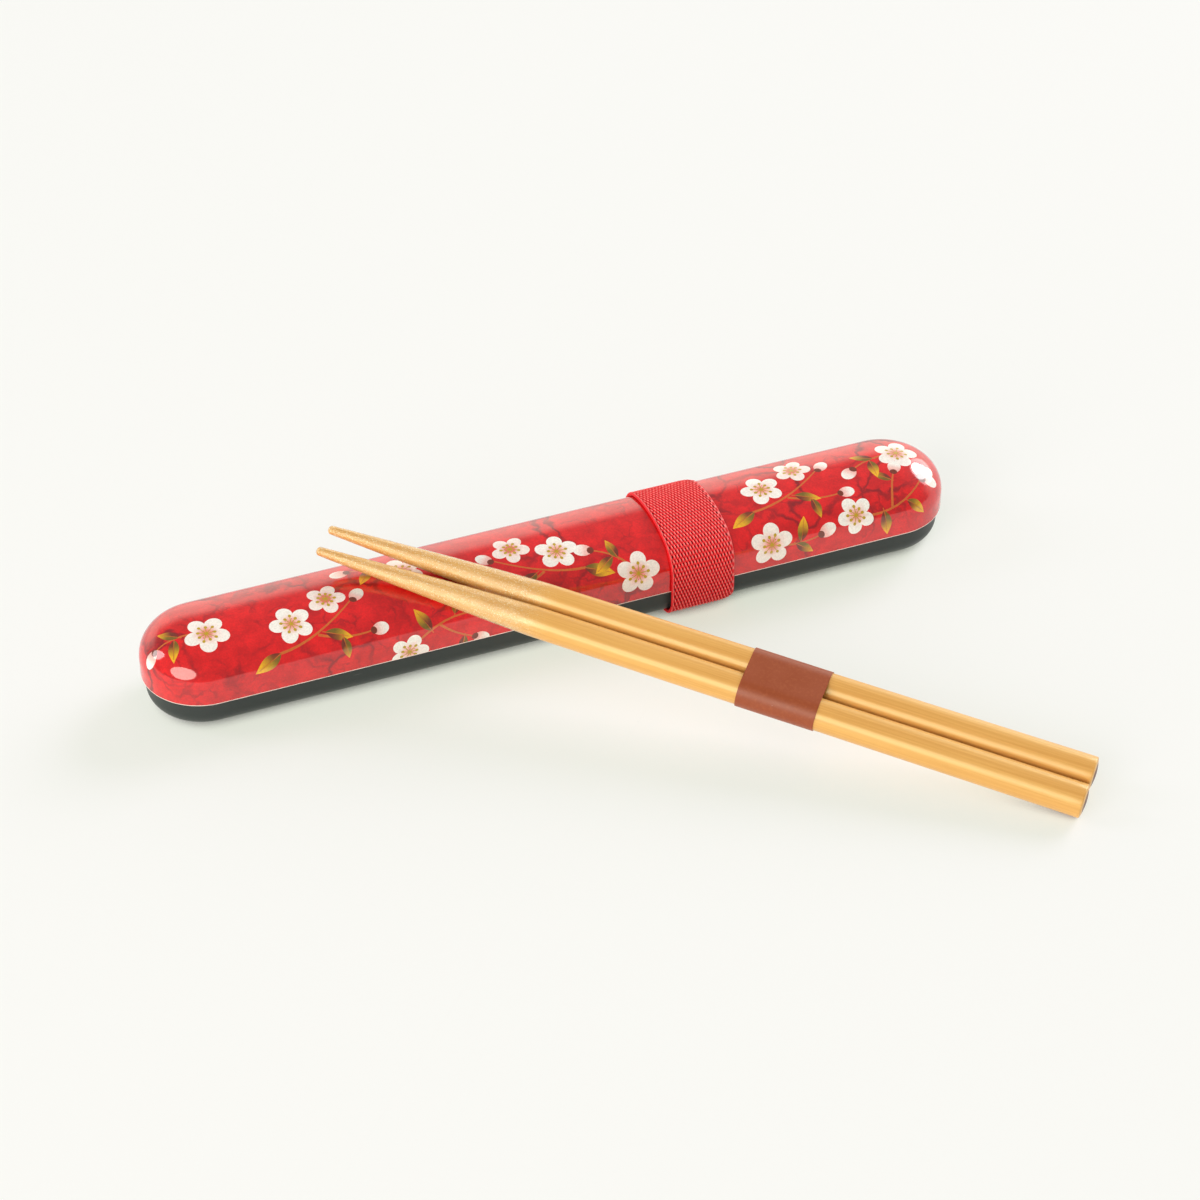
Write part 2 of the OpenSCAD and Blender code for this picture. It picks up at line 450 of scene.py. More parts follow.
spray = dict(
    stems=[((-8, -2), (0, -3), (9, 2)), ((0, -1.9), (4, -5), (9.5, -5.5))],
    blossoms=[((-3.2, 2.4), 4.1, 20, 0.3), ((5.2, 4.6), 3.7, 50, 0.9)],
    buds=[((10.6, 2.7), 1.5, 35), ((11.0, -5.8), 1.4, -10)],
    leaves=[((1.4, -2.0), 5.2, -35, 0.6), ((-7.6, -2.0), 6.0, 195, 0.2), ((4.0, -4.2), 4.4, -95, 0.9)])
single = dict(
    stems=[((0, 0), (5, -3), (10, -2.4))],
    blossoms=[((0, 0), 4.3, 0, 0.5)],
    buds=[((11.4, -2.2), 1.6, 10)],
    leaves=[((5.6, -2.0), 5.0, 60, 0.3), ((4.6, -1.9), 4.6, -50, 0.8)])
twig = dict(
    stems=[((-7, 3), (0, -2), (8, 1)), ((-1, 0.1), (1.5, 3.5), (5, 5.6))],
    blossoms=[((-7.6, 3.8), 3.8, 15, 0.1)],
    buds=[((6.2, 6.4), 1.5, 35)],
    halves=[((8.4, 1.2), 3.9, 8)],
    leaves=[((-2.6, 0.9), 5.4, 250, 0.5), ((2.4, -0.5), 5.2, -60, 0.1), ((3.2, 4.5), 4.2, 110, 0.8)])
layout = [
    (single, -83, -4, 190, 1), (spray, -60, -9, 12, 1), (twig, -31, -15, 8, -1), (single, -36, 1, 172, 1),
    (spray, -5, -7, 172, -1), (single, 16, -15, 152, 1), (spray, 56, -3, 10, 1), (single, 49, -16, 12, 1),
    (twig, 81, -14, 26, 1), (single, 87, 1, 205, 1), (single, -86, 17, 20, 1), (single, -58, 18, 184, -1),
    (twig, -30, 21, 3, -1), (single, 2, 17.5, 170, 1), (single, 54, 17.5, 175, -1), (twig, 76, 22, -4, -1)]
for plan, x, v, degrees, flip in layout:
    sprig(x, v, math.radians(degrees), flip, **plan)


def film_points():
    """The film's own outline, and rows of points that let it follow the arch and the round ends."""
    half_turn = [math.pi * (i / end_steps - 0.5) for i in range(end_steps + 1)]
    straight = [-end_x + 2 * end_x * i / rim_columns for i in range(1, rim_columns)]
    outline = [(end_x + film_girth * math.cos(a), film_girth * math.sin(a)) for a in half_turn]
    outline += [(-x, film_girth) for x in straight]
    outline += [(-end_x - film_girth * math.cos(a), -film_girth * math.sin(a)) for a in half_turn]
    outline += [(x, -film_girth) for x in straight]
    inside = []
    rows = round(film_girth / row_step)
    columns = round(2 * end_x / film_step)
    for row in range(rows):
        girth = film_girth * row / rows
        for side in (1, -1) if row else (1,):
            inside += [(-end_x + 2 * end_x * i / columns, side * girth) for i in range(columns + 1)]
        around = max(3 * row, 1)
        for end in (1, -1):
            for i in range(1, around):
                a = math.pi * (i / around - 0.5)
                inside.append((end * (end_x + girth * math.cos(a)), end * girth * math.sin(a)))
    return outline, inside


def printed_film():
    """The film as triangles: flat points, faces, and the index of the print on each face or -1."""
    outline, inside = film_points()
    points = [Vector(p) for p in outline + inside]
    shapes = [list(range(len(outline)))]
    for drawn, _ in prints:
        shapes.append(list(range(len(points), len(points) + len(drawn))))
        points += [Vector(p) for p in drawn]
    flat, _, faces, _, _, from_shapes = delaunay_2d_cdt(points, [], shapes, 1, 1e-5)
    kept = [(face, max(found) - 1) for face, found in zip(faces, from_shapes) if 0 in found]
    return flat, [face for face, found in kept], [found for face, found in kept]


def lay_on_arch(flat):
    """Places and normals of the flat film's points once it lies on the lid."""
    points, normals = [], []
    for x, v in flat:
        foot_x, way, girth = film_frame(x, v)
        out, up, turn = over_arch(girth)
        points.append((foot_x + out * way[0], case_y + out * way[1], up))
        normals.append((way[0] * math.sin(turn), way[1] * math.sin(turn), math.cos(turn)))
    return points, normals


def open_edge(faces):
    """The points round the open edge of a sheet of faces, in order."""
    used = dict.fromkeys((a, b) for face in faces for a, b in zip(face, face[1:] + face[:1]))
    follow = {a: b for a, b in used if (b, a) not in used}
    rim = [next(iter(follow))]
    while follow[rim[-1]] != rim[0]:
        rim.append(follow[rim[-1]])
    return rim


def lining_line():
    """Out and up of the lid's rounded lower edge and its inside, from the film's rim to near the crown."""
    inner_half = case_half - lid_wall
    crown_stop = 90 - math.degrees(math.asin(flat_inside / (crown_r - lid_wall)))
    line = [(case_half - edge_r + edge_r * math.cos(a), part_z + edge_r - edge_r * math.sin(a))
            for a in (0.0, 0.5, 1.0, math.pi / 2)]
    line += [(inner_half + edge_r, part_z), (inner_half, part_z + edge_r), (inner_half, shoulder_z)]
    line += arc((shoulder_y, shoulder_z), shoulder_r - lid_wall, 0, shoulder_stop, shoulder_steps)[1:]
    line += arc((0, crown_z), crown_r - lid_wall, shoulder_stop, crown_stop, crown_steps)[1:]
    return line


def lay_inks(mesh, flat, inked):
    """Gives the film's faces the colours of their prints, and the lining's faces the ivory material."""
    layer = mesh.color_attributes.new("ink", "FLOAT_COLOR", "CORNER")
    for face in mesh.polygons:
        if face.index >= len(inked):
            face.material_index = 1
            continue
        found = inked[face.index]
        for loop in face.loop_indices:
            x, v = flat[mesh.loops[loop].vertex_index]
            layer.data[loop].color = prints[found][1](x, v)[:3] + [1.0] if found >= 0 else [0.0] * 4


def lid_piece():
    """The lid as one closed shell: the printed film outside, and the ivory rim and inside."""
    flat, faces, inked = printed_film()
    points, normals = lay_on_arch(flat)
    rim = open_edge(faces)
    ring = rim
    for out, up in lining_line():
        made = list(range(len(points), len(points) + len(rim)))
        for corner in rim:
            foot_x, way, _ = film_frame(*flat[corner])
            points.append((foot_x + out * way[0], case_y + out * way[1], up))
            normals.append((0, 0, 0))
        for i in range(len(rim)):
            j = (i + 1) % len(rim)
            faces.append([ring[j], ring[i], made[i], made[j]])
        ring = made
    faces.append(ring[::-1])
    piece = make_piece("lid_shell", points, faces)
    lay_inks(piece.data, flat, inked)
    piece.data.normals_split_custom_set_from_vertices(normals)
    return piece


def combine(tree, operation, first, second):
    """The output of a node that works out one value from two."""
    return add_node(tree, "ShaderNodeMath", {0: first, 1: second}, operation=operation).outputs[0]


def crackle(tree, place, scale, width):
    """The output of nodes that draw dark lines between cells: 1 on a line, 0 beside it."""
    inputs = {"Vector": place, "Scale": scale}
    cells = add_node(tree, "ShaderNodeTexVoronoi", inputs, feature="DISTANCE_TO_EDGE")
    return grade(tree, cells.outputs["Distance"], 0.0, width, 1.0, 0.0)


def lid_print():
    """Printed film: mottled red with dark crackle, inked sprigs, and a clear gloss coat over all."""
    material, tree, surface, place = start_material("lid_print")
    wander = {"Vector": place, "Scale": 80.0, "Detail": 6.0, "Roughness": 0.55}
    drift = add_node(tree, "ShaderNodeTexNoise", wander).outputs["Color"]
    bent = add_node(tree, "ShaderNodeMix", {0: 0.016, 4: place, 5: drift}, data_type="VECTOR").outputs[1]
    vein_shown = grade(tree, patchy(tree, place, 60.0, 2.0), 0.4, 0.64, 0.12, 0.78)
    thread_shown = grade(tree, patchy(tree, place, 95.0, 2.0, Distortion=1.0), 0.5, 0.68, 0.0, 0.42)
    veins = combine(tree, "MULTIPLY", crackle(tree, bent, 78.0, 0.075), vein_shown)
    threads = combine(tree, "MULTIPLY", crackle(tree, bent, 210.0, 0.1), thread_shown)
    dark = combine(tree, "MAXIMUM", veins, threads)
    cloud = grade(tree, patchy(tree, place, 260.0, 6.0, Roughness=0.65), 0.3, 0.7)
    red = blend_colours(tree, cloud, colour(202, 11, 15), colour(232, 21, 23))
    veined = blend_colours(tree, dark, red, colour(96, 6, 18))
    layer = add_node(tree, "ShaderNodeVertexColor", layer_name="ink").outputs
    inked = blend_colours(tree, layer["Alpha"], veined, layer["Color"])
    speck = grade(tree, patchy(tree, place, 2400.0, 1.0), 0.25, 0.75, 0.9, 1.06)
    shade = add_node(tree, "ShaderNodeVectorMath", {0: inked, "Scale": speck}, operation="SCALE")
    feed(tree, surface, {
        "Base Color": shade.outputs[0],
        "Roughness": 0.6,
        "Specular IOR Level": 0.1,
        "Coat Weight": 1.0,
        "Coat Roughness": 0.07,
        "Coat IOR": 1.7})
    return material


def lid_ivory():
    """The lid's own plastic, ivory and semi-matt, with a faint cloudiness."""
    material, tree, surface, place = start_material("lid_ivory")
    cloud = patchy(tree, place, 160.0, 4.0)
    grain = patchy(tree, place, 2200.0, 2.0)
    feed(tree, surface, {
        "Base Color": blend_colours(tree, cloud, colour(250, 226, 214), colour(252, 238, 228)),
        "Roughness": grade(tree, cloud, 0.3, 0.7, 0.4, 0.5),
        "Normal": dents(tree, grain, 0.1, 0.00005)})
    return material


lid = lid_piece()
lid.data.materials.append(lid_print())
lid.data.materials.append(lid_ivory())
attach(lid, "lid")
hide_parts("lid")


# Elastic belt
# A loop of red woven elastic, drawn tight round the closed case so that it keeps the lid on. The weave is
# open, with rows of small slanting holes, and each edge is a smooth rolled selvedge.
belt_low, belt_high = (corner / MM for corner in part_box("belt_lower"))
belt_x = (belt_low.x + belt_high.x) / 2
belt_half = (belt_high.x - belt_low.x) / 2
belt_t = 0.9
belt_gap = base_z - belt_t
hole_columns = 38
hole_pitch = 0.39
weave_half = hole_columns * hole_pitch / 2
weave_periods = 41
samples_across = 4
samples_along = 14
inside_steps = 8
hole_size = (0.2, 0.46)
grain_size = (0.27, 0.8)
edge_hole = (0.32, 0.5)
edge_fade = 0.12
hole_depth = 0.34
grain_height = 0.24
hole_tilt = 0.22
hole_slope = 2.2
roll_angles = [math.radians(angle) for angle in (0, 20, 40, 60, 80)]
# Share of painted highlight on the outer half of each rolled edge.
selvedge_highlight = 0.75
right_t = 0.3
thin_span = 3.0
seam_y = 4.0
stitch_l = 3.2
stitch_pitch = 1.5
stitch_count = 9
thread_d = 0.35
thread_press = 0.42
pocket_end_room = 0.2
pocket_side_room = 0.1
corner_r = case_half - tray_side + foot_r
girth_corner = (case_half - corner_r, base_z + corner_r)


def straight(start, stop, out):
    """A straight span of the line round the case: its place at a share of its length, and its way out."""
    return lambda t: ((start[0] + t * (stop[0] - start[0]), start[1] + t * (stop[1] - start[1])), out)


def bend(middle, radius, start, stop):
    """A round span of that line, from one angle to another in degrees from straight out."""
    def place(t):
        a = math.radians(start + t * (stop - start))
        way = (math.cos(a), math.sin(a))
        return (middle[0] + radius * way[0], middle[1] + radius * way[1]), way
    return place


side_foot = (case_half, girth_corner[1])
side_top = (case_half, shoulder_z)
girth_spans = [
    (girth_corner[0], straight((0, base_z), (girth_corner[0], base_z), (0.0, -1.0))),
    (corner_r * math.pi / 2, bend(girth_corner, corner_r, -90, 0)),
    (side_top[1] - side_foot[1], straight(side_foot, side_top, (1.0, 0.0))),
    (side_girth - crown_girth, bend((shoulder_y, shoulder_z), shoulder_r, 0, shoulder_stop)),
    (crown_girth, bend((0, crown_z), crown_r, shoulder_stop, 90))]
half_girth = sum(length for length, _ in girth_spans)
weave_period = 2 * half_girth / weave_periods


def round_girth(distance):
    """Place and way out at a distance round the whole case, from under its middle, by way of its back."""
    side = 1 if distance <= half_girth else -1
    folded = distance if side == 1 else 2 * half_girth - distance
    for length, place in girth_spans:
        if folded <= length or place is girth_spans[-1][1]:
            (y, z), (out_y, out_z) = place(min(folded / length, 1.0))
            return (side * y, z), (side * out_y, out_z)
        folded -= length


def in_lattice(across, along, size, shift):
    """How far inside one of a lattice of slanting ovals a point of the belt is, from 0 at its edge to 1 in
    its middle. The ovals of neighbouring columns are staggered by half a period."""
    column = across / hole_pitch
    inside = 0.0
    for near in (math.floor(column), math.floor(column) + 1):
        row = along / weave_period - near / 2 + shift
        away = (row - round(row)) * weave_period
        beside = (column - near) * hole_pitch - hole_tilt * away
        inside = max(inside, 1 - math.hypot(beside / size[0], away / size[1]))
    return inside


def weave_at(across, along):
    """How deep in a hole and how high on a yarn a point of the belt is, both 0 to 1. The yarns lie between
    the holes, and a larger hole lies beside each selvedge in every period."""
    row = along / weave_period
    beside = weave_half - edge_hole[0] - abs(across)
    by_edge = 1 - math.hypot(beside / edge_hole[0], (row - round(row)) * weave_period / edge_hole[1])
    hole = min(hole_slope * max(in_lattice(across, along, hole_size, 0.0), by_edge, 0.0), 1.0)
    yarn = in_lattice(across, along, grain_size, 0.5)
    fade = min(1.0, max(0.0, (weave_half - abs(across)) / edge_fade))
    return hole * hole * (3 - 2 * hole) * fade, math.sqrt(yarn)


def thickness(across):
    """Thickness of the belt, which thins towards its right edge."""
    share = min(max(0.0, 1 - (weave_half - across) / thin_span), 1.0)
    return belt_t - (belt_t - right_t) * (1 - math.sqrt(1 - share * share))


def rolled_edge(side, thick, angles):
    """Points of a rolled selvedge: across, lift from the case, depth in a hole, and a share of painted
    highlight that lightens the outer half of the roll.
    """
    radius = thick / 2
    out = belt_half - radius
    return [(side * (out + radius * math.cos(a)), belt_gap + radius + radius * math.sin(a), 0.0,
             selvedge_highlight * max(math.sin(a), 0.0)) for a in angles]


def under_stitch(across, along):
    """Whether a point of the belt lies in the hollow that a stitch presses."""
    if abs(along - seam_y) >= stitch_l / 2 + pocket_end_room:
        return False
    beside = abs(across / stitch_pitch - round(across / stitch_pitch)) * stitch_pitch
    in_row = abs(across) < (stitch_count // 2 + 0.5) * stitch_pitch
    return in_row and beside < thread_d / 2 + pocket_side_room


def belt_section(along):
    """The belt's section at a distance round the case, all the way round it, as rolled_edge gives points."""
    section = rolled_edge(-1, belt_t, roll_angles)
    steps = hole_columns * samples_across
    for i in range(steps + 1):
        x = -weave_half + 2 * weave_half * i / steps
        pit_and_shade, crest_and_highlight = weave_at(x, along)
        relief = grain_height * (1 - crest_and_highlight) + hole_depth * pit_and_shade
        lift = belt_gap + thickness(x) * (1 - relief / belt_t)
        if under_stitch(x, along):
            lift = min(lift, belt_gap + belt_t - thread_press)
        section.append((x, lift, pit_and_shade, crest_and_highlight))
    section += rolled_edge(1, right_t, roll_angles[::-1])
    section += rolled_edge(1, right_t, [-a for a in roll_angles[1:]])
    for i in range(inside_steps + 1):
        section.append((weave_half * (1 - 2 * i / inside_steps), belt_gap, 0.0, 0.0))
    section += rolled_edge(-1, belt_t, [-a for a in roll_angles[:0:-1]])
    return section


def keep_vectors(piece, name, vectors):
    """Stores a vector at each point of a piece, for its material to read."""
    layer = piece.data.attributes.new(name, "FLOAT_VECTOR", "POINT")
    layer.data.foreach_set("vector", np.array(vectors, np.float32).ravel())


def belt_piece():
    """The woven loop: a relief of yarns and holes outside, a smooth face inside and rolled edges."""
    count = weave_periods * samples_along
    points, places, crests_and_highlights = [], [], []
    for k in range(count):
        along = 2 * half_girth * k / count
        (y, z), (out_y, out_z) = round_girth(along)
        for x, lift, pit_and_shade, crest_and_highlight in belt_section(along):
            points.append((belt_x + x, case_y + y + lift * out_y, z + lift * out_z))
            places.append((x, along, pit_and_shade))
            crests_and_highlights.append(crest_and_highlight)
    piece = make_piece("belt_webbing", points, skin(count, len(points) // count, round_rows=True))
    # Depth in a hole and height on a yarn are kept for the material, which paints shade in the holes and a
    # highlight on the yarn crests.
    keep_vectors(piece, "weave", places)
    highlight_layer = piece.data.attributes.new("crest_and_highlight", "FLOAT", "POINT")
    highlight_layer.data.foreach_set("value", np.array(crests_and_highlights, np.float32))
    return piece


def belt_elastic():
    """Dyed polyester yarn: a soft sheen, fine fibres along the yarns, painted shade in the hollows of the
    weave and painted highlights on the yarn crests and the outer half of the rolled edges.
    """
    material, tree, surface, _ = start_material("belt_elastic")
    weave = add_node(tree, "ShaderNodeAttribute", attribute_name="weave").outputs["Vector"]
    crest_and_highlight = add_node(tree, "ShaderNodeAttribute", attribute_name="crest_and_highlight").outputs["Fac"]
    pit_and_shade = add_node(tree, "ShaderNodeSeparateXYZ", {0: weave}).outputs["Z"]
    fibres = patchy(tree, drawn_out(tree, weave, (9.0, 1.6, 0.0)), 1.0, 3.0)
    yarn = blend_colours(tree, patchy(tree, weave, 0.5, 2.0), colour(224, 8, 28), colour(235, 12, 34))
    # Painted highlight: the yarn crests and the outer half of the rolled edges are lightened to pale pink.
    painted_crest_highlight = blend_colours(tree, grade(tree, crest_and_highlight, 0.5, 0.92), yarn, colour(255, 142, 136))
    fine = blend_colours(tree, grade(tree, fibres, 0.3, 0.75, 0.0, 0.2), painted_crest_highlight, colour(248, 70, 70))
    # Painted shade: the base colour darkens to deep red in the hollows of the weave.
    feed(tree, surface, {
        "Base Color": blend_colours(tree, grade(tree, pit_and_shade, 0.15, 0.9), fine, colour(150, 2, 18)),
        "Normal": dents(tree, fibres, 0.35, 0.00008),
        "Roughness": 0.6,
        "Sheen Weight": 0.15,
        "Sheen Roughness": 0.4,
        "Sheen Tint": colour(255, 150, 140),
        "Specular IOR Level": 0.3})
    return material


belt = belt_piece()
weld(belt)
belt.data.materials.append(belt_elastic())
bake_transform(belt)
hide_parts("belt_lower", "belt_upper")


# Belt stitching
# A short row of stitches in dark red thread across the joint of the belt's two ends, under the case. Each
# stitch is a two-ply thread pulled tight into the elastic.
ply_r = thread_d / 4
ply_turn = 1.1
ply_sides = 8
stitch_steps = 26
stitch_lowest = 0.06
stitch_sink = 0.1
sink_sharpness = 8
end_sharpness = 24
end_least = 0.05


def stitch_points(x, ply):
    """The middle line of one ply of a stitch, twisted about its neighbour and pulled in at both ends."""
    line = []
    for i in range(stitch_steps + 1):
        t = i / stitch_steps
        along = seam_y + (t - 0.5) * (stitch_l - 2 * ply_r)
        height = stitch_lowest + 2 * ply_r + stitch_sink * (2 * t - 1) ** sink_sharpness
        turn = 2 * math.pi * (along / ply_turn + ply / 2)
        line.append((x + ply_r * math.cos(turn), case_y + along, height + ply_r * math.sin(turn)))
    return line


def tube(lines, radius, sides):
    """Points and faces of closed tubes along lines of points."""
    points, faces = [], []
    for line in lines:
        first = len(points)
        last = len(line) - 1
        for i, here in enumerate(line):
            way = (Vector(line[min(i + 1, last)]) - Vector(line[max(i - 1, 0)])).normalized()
            level = way.cross(Vector((1.0, 0.0, 0.0))).normalized()
            other = way.cross(level)
            share = math.sqrt(max(1 - abs(2 * i / last - 1) ** end_sharpness, end_least))
            for k in range(sides):
                a = 2 * math.pi * k / sides
                points.append(Vector(here) + radius * share * (level * math.cos(a) + other * math.sin(a)))
        faces += skin(len(line), sides, first=first)
        faces.append([first + k for k in range(sides)][::-1])
        faces.append([first + last * sides + k for k in range(sides)])
    return points, faces


def belt_thread():
    """Spun sewing thread, dark red, with fine fibres."""
    material, tree, surface, place = start_material("belt_thread")
    fibres = patchy(tree, place, 6000.0, 3.0)
    feed(tree, surface, {
        "Base Color": blend_colours(tree, fibres, colour(120, 12, 24), colour(188, 36, 46)),
        "Normal": dents(tree, fibres, 0.4, 0.00003),
        "Roughness": 0.6,
        "Sheen Weight": 0.2})
    return material


stitch_lines = [stitch_points(belt_x + (i - stitch_count // 2) * stitch_pitch, ply)
                for i in range(stitch_count) for ply in range(2)]
stitches = make_piece("belt_seam_stitches", *tube(stitch_lines, ply_r, ply_sides))
weld(stitches)
stitches.data.materials.append(belt_thread())
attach(stitches, "belt")
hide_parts("belt_stitching")


# Chopsticks
# A pair of round wooden sticks under gold lacquer. The bodies are smooth, the slender ends carry a fine
# sandy coat that keeps food from slipping, and the low domes of the butts are brown.
stick_l = 180.0
butt_d = 7.7
body_d = 6.9
tip_d = 2.0
taper_l = 52.0
taper_swell = 1.2
butt_crown = 0.6
rim_r = 0.3
tip_dome = 0.8
tip_cap = tip_dome * tip_d / 2
stick_sides = 56
dome_steps = 8
round_steps = 6
brown_steps = 6
grain_step = 0.35
body_step = 2.0
grit_height = 0.05
grit_scale = 2.6
grit_level = 0.4
grit_fade = 6.0
bare_tip_r = 0.3
tip_slice = 0.01
butt_slice = 0.05
axis_tries = 3


def stick_r(from_tip):
    """Radius of a chopstick at a distance from its tip."""
    if from_tip < taper_l:
        return body_d / 2 - (body_d - tip_d) / 2 * (1 - from_tip / taper_l) ** taper_swell
    return body_d / 2 + (butt_d - body_d) / 2 * (from_tip - taper_l) / (stick_l - taper_l)


def stick_axis(node):
    """The middle of the butt and the way to the tip, from the frame's own solid, in millimetres."""
    places = np.unique(np.round([list(v.co / MM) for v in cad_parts[node].data.vertices], 4), axis=0)
    way = np.linalg.svd(places - places.mean(0))[2][0]
    if way[0] > 0:
        way = -way
    for _ in range(axis_tries):
        reach = places @ way
        tip = places[reach > reach.max() - tip_slice].mean(0)
        butt = places[reach < reach.min() + butt_slice].mean(0)
        way = (tip - butt) / np.linalg.norm(tip - butt)
    return Vector(butt), Vector(way)


def stick_section():
    """Radius and distance from the butt, from the middle of the butt's face to the tip."""
    dome_r = ((butt_d / 2) ** 2 + butt_crown ** 2) / (2 * butt_crown)
    rim_out = butt_d / 2 - rim_r
    rim_up = dome_r - math.sqrt((dome_r - rim_r) ** 2 - rim_out ** 2)
    rim_start = math.degrees(math.asin(rim_out / (dome_r - rim_r))) - 90
    section = arc((0, dome_r), dome_r, -90, rim_start, dome_steps)
    section += arc((rim_out, rim_up), rim_r, rim_start, 0, round_steps)[1:]
    body = round((stick_l - taper_l - rim_up) / body_step)
    places = [stick_l - rim_up + (taper_l - stick_l + rim_up) * i / body for i in range(1, body + 1)]
    fine = round((taper_l - tip_cap) / grain_step)
    places += [taper_l + (tip_cap - taper_l) * i / fine for i in range(1, fine + 1)]
    section += [(stick_r(s), stick_l - s) for s in places]
    for i in range(1, round_steps + 1):
        a = math.pi / 2 * i / round_steps
        section.append((stick_r(tip_cap) * math.cos(a), stick_l - tip_cap + tip_cap * math.sin(a)))
    return section


def stick_piece(name, node):
    """One chopstick turned from its section, with the sandy coat raised on its slender end."""
    butt, way = stick_axis(node)
    side = way.cross(Vector((0.0, 0.0, 1.0))).normalized()
    up = side.cross(way)
    section = stick_section()
    points, places = [], []
    for radius, along in section:
        from_tip = stick_l - along
        grit = grit_height * min(max((taper_l - from_tip) / grit_fade, 0.0), 1.0)
        if radius < bare_tip_r:
            grit = 0.0
        for k in range(stick_sides):
            a = 2 * math.pi * k / stick_sides
            spot = Vector((along, radius * math.cos(a), radius * math.sin(a)))
            out = radius
            if grit:
                out += grit * (noise.noise(spot * grit_scale) - grit_level)
            points.append(butt + way * along + out * (side * math.cos(a) + up * math.sin(a)))
            places.append(spot)
    piece = make_piece(name, points, skin(len(section), stick_sides))
    keep_vectors(piece, "stick", places)
    for face in piece.data.polygons[:brown_steps * stick_sides]:
        face.material_index = 1
    weld(piece)
    return piece


def stick_lacquer():
    """Gold lacquer over wood: a satin metal sheen, faint streaks along the stick, and grit at the tip
    whose colour carries painted glints of light.
    """
    material, tree, surface, _ = start_material("stick_lacquer")
    spot = add_node(tree, "ShaderNodeAttribute", attribute_name="stick").outputs["Vector"]
    along = add_node(tree, "ShaderNodeSeparateXYZ", {0: spot}).outputs["X"]
    streaks = patchy(tree, drawn_out(tree, spot, (0.012, 1.0, 1.0)), 2.2, 4.0)
    sand = patchy(tree, spot, 4.2, 2.0)
    taper_start = stick_l - taper_l
    sandy = grade(tree, along, taper_start - grit_fade, taper_start + grit_fade)
    streaky = grade(tree, streaks, 0.3, 0.7)
    gold = blend_colours(tree, streaky, colour(223, 162, 84), colour(235, 178, 98))
    # Painted glints: pale cream flecks in the colour of the sandy coat stand for sparkles of light.
    painted_glint = combine(tree, "MULTIPLY", grade(tree, sand, 0.55, 0.72), sandy)
    smooth = grade(tree, streaks, 0.3, 0.7, 0.34, 0.42)
    gritty = dents(tree, combine(tree, "MULTIPLY", sand, sandy), 0.75, 0.0002)
    feed(tree, surface, {
        "Base Color": blend_colours(tree, painted_glint, gold, colour(255, 238, 190)),
        "Roughness": add_node(tree, "ShaderNodeMix", {0: sandy, 2: smooth, 3: 0.2}).outputs[0],
        "Normal": gritty,
        "Specular IOR Level": 0.75,
        "Specular Tint": colour(228, 252, 190),
        "Coat Normal": gritty,
        "Coat Weight": grade(tree, sandy, 0.0, 1.0, 0.2, 1.0),
        "Coat Roughness": grade(tree, sandy, 0.0, 1.0, 0.2, 0.13),
        "Coat IOR": 1.85})
    return material


def butt_lacquer():
    """Plain brown lacquer on the cut butt."""
    material, tree, surface, place = start_material("butt_lacquer")
    cloud = patchy(tree, place, 700.0, 4.0)
    feed(tree, surface, {
        "Base Color": blend_colours(tree, cloud, colour(86, 46, 40), colour(122, 74, 60)),
        "Roughness": grade(tree, cloud, 0.3, 0.7, 0.35, 0.5)})
    return material


gold_lacquer = stick_lacquer()
brown_lacquer = butt_lacquer()
for name, node in (("front_stick", "chopstick_front"), ("back_stick", "chopstick_back")):
    stick = stick_piece(name, node)
    stick.data.materials.append(gold_lacquer)
    stick.data.materials.append(brown_lacquer)
    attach(stick, "chopsticks")
    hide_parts(node)


# Paper band
# A strip of brown paper wound once round the pair, pulled tight, with its end lapped and glued underneath.
# Its face is smooth and lightly rubbed, with a few pale specks.
band_w = 18.0
band_gap = 0.1
band_from_tip = 110.0
paper_t = 0.12
lap = 7.0
band_rows = 24
flat_steps = 6
turn_steps = 24
sharp_turn = math.radians(40)


def band_line(apart, radius):
    """The stretched paper's line round the pair as (across, up, way out) from under its middle and round."""
    flat = apart / 2

    def turn_round(x, start):
        angles = [math.radians(start + 180 * i / turn_steps) for i in range(turn_steps + 1)]
        return [(x + radius * math.cos(a), radius * math.sin(a), (math.cos(a), math.sin(a))) for a in angles]

    line = [(flat * i / flat_steps, -radius, (0.0, -1.0)) for i in range(flat_steps)]
    line += turn_round(flat, -90)
    line += [(flat - flat * i / flat_steps, radius, (0.0, 1.0)) for i in range(1, 2 * flat_steps)]
    line += turn_round(-flat, 90)
    line += [(-flat + flat * i / flat_steps, -radius, (0.0, -1.0)) for i in range(1, flat_steps)]
    return line


def sheet_faces(count):
    """Faces of a closed sheet of paper whose lines of points lie by turns on its under and upper face."""
    rows = 2 * (band_rows + 1)
    faces = []
    for i in range(count - 1):
        a, b = i * rows, (i + 1) * rows
        for k in range(0, 2 * band_rows, 2):
            faces.append((a + k, a + k + 2, b + k + 2, b + k))
            faces.append((a + k + 1, b + k + 1, b + k + 3, a + k + 3))
        faces.append((a, b, b + 1, a + 1))
        faces.append((a + rows - 2, a + rows - 1, b + rows - 1, b + rows - 2))
    last = (count - 1) * rows
    for k in range(0, 2 * band_rows, 2):
        faces.append((k, k + 1, k + 3, k + 2))
        faces.append((last + k, last + k + 2, last + k + 3, last + k + 1))
    return faces


